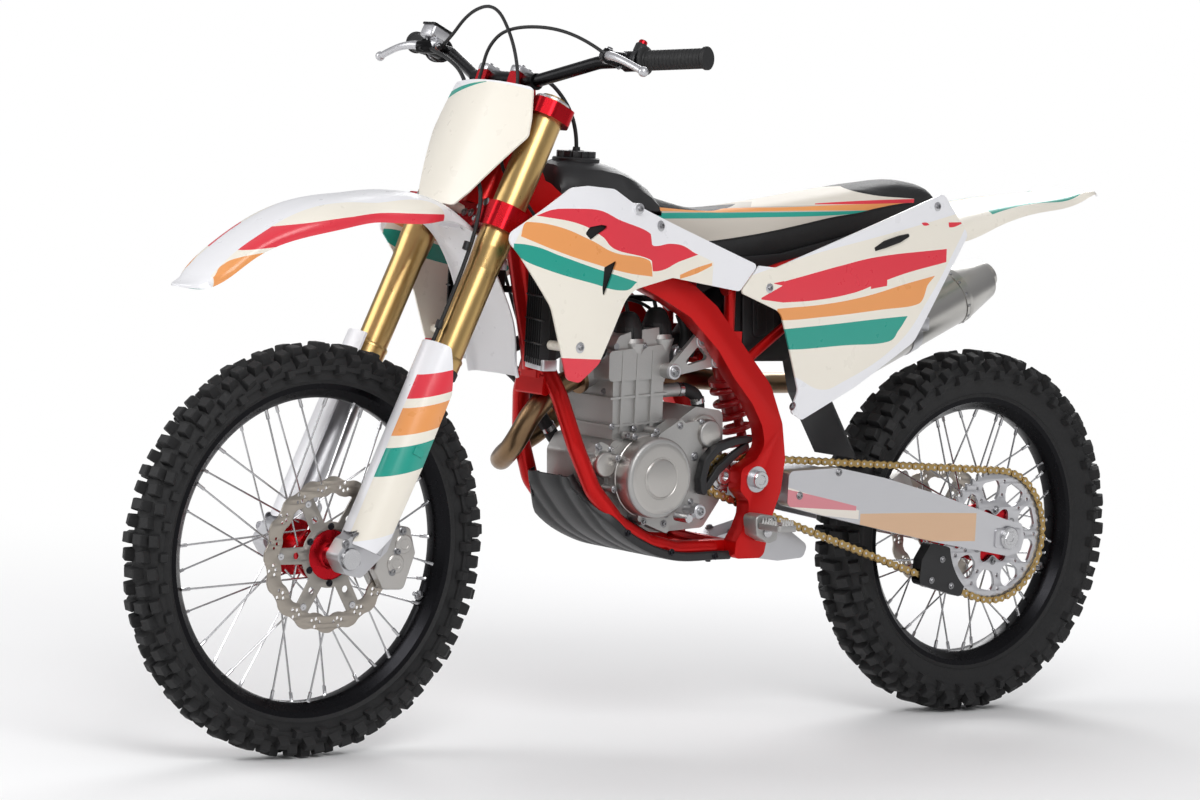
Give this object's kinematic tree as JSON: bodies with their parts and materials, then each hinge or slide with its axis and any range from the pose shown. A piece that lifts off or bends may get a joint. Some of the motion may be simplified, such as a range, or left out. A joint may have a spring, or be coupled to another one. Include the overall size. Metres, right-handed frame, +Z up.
{
  "type": "motocross motorcycle",
  "caption": "Off-road motorcycle with long-travel gold fork, red frame, open single-cylinder engine, knobbly tyres on spoked wheels, and cream plastics with red, orange and teal stripes.",
  "frame": {"origin": "on top of the seat, in the middle plane, where the rider sits", "axes": "+X forward, +Y to the rider's left, +Z up"},
  "size_m": [2.176, 0.8284, 1.2656],
  "materials": {
    "plastic_cream": "semi-gloss moulded plastic, cream with coloured stripes",
    "plastic_white": "semi-gloss moulded plastic",
    "plastic_black": "fine grained moulded plastic",
    "tyre_rubber": "matt rubber",
    "rubber_black": "matt rubber",
    "rim_black": "black anodised rim with bright steel spokes",
    "anodised_red": "red anodised",
    "anodised_gold": "gold anodised, satin",
    "frame_red": "gloss red paint",
    "disc_steel": "ground steel",
    "steel": "satin steel",
    "alloy": "satin alloy",
    "cast_alloy": "cast alloy, slightly rough",
    "pipe": "heat-tinted steel",
    "chain_gold": "gold-tinted steel",
    "bar_black": "black anodised",
    "vinyl": "textured vinyl seat cover",
    "spring_red": "powder-coated steel"
  },
  "bodies": {
    "frame": {"chain": "chain_gold", "control_cables": "rubber_black", "steering_head": "frame_red", "frame_spars": "frame_red", "cradle": "frame_red", "subframe": "frame_red", "crankcase": "cast_alloy", "cylinder": "cast_alloy", "throttle_body": "rubber_black", "exhaust_header": "pipe", "silencer": "alloy", "skid_plate": "plastic_black", "swingarm": "alloy", "rear_axle": "steel", "chain_guide": "plastic_black", "shock_absorber": "spring_red", "linkage": "alloy", "foot_controls": "alloy", "airbox": "plastic_black", "radiators": "plastic_black", "fuel_tank": "plastic_black", "seat": "vinyl", "shroud_left": "plastic_cream", "shroud_right": "plastic_cream", "side_panel_left": "plastic_cream", "side_panel_right": "plastic_cream", "rear_fender": "plastic_cream", "rear_caliper": "alloy"},
    "steering": {"front_axle": "steel", "fork_outers": "anodised_gold", "fork_legs": "alloy", "fork_guards": "plastic_white", "fork_clamps": "anodised_red", "handlebar": "bar_black", "grips": "rubber_black", "lever_sets": "alloy", "front_caliper": "alloy", "front_fender": "plastic_cream", "number_plate": "plastic_cream", "brake_hose": "rubber_black"},
    "front_wheel": {"front_tyre": "tyre_rubber", "front_rim": "rim_black", "front_hub": "anodised_red", "front_disc": "disc_steel"},
    "rear_wheel": {"rear_tyre": "tyre_rubber", "rear_rim": "rim_black", "rear_hub": "anodised_red", "rear_disc": "disc_steel", "rear_sprocket": "steel"}
  },
  "joints": [
    {"name": "steering", "type": "hinge", "parent": "frame", "child": "steering", "pos_m": [0.91995, 0, -0.61381], "axis": [-0.4147, 0, 0.91], "range_deg": [-40, 40], "deforming": ["control_cables"]},
    {"name": "front_wheel_spin", "type": "hinge", "parent": "steering", "child": "front_wheel", "pos_m": [0.97, 0, -0.591], "axis": [0, 1, 0], "continuous": true},
    {"name": "rear_wheel_spin", "type": "hinge", "parent": "frame", "child": "rear_wheel", "pos_m": [-0.52, 0, -0.598], "axis": [0, 1, 0], "continuous": true}
  ]
}
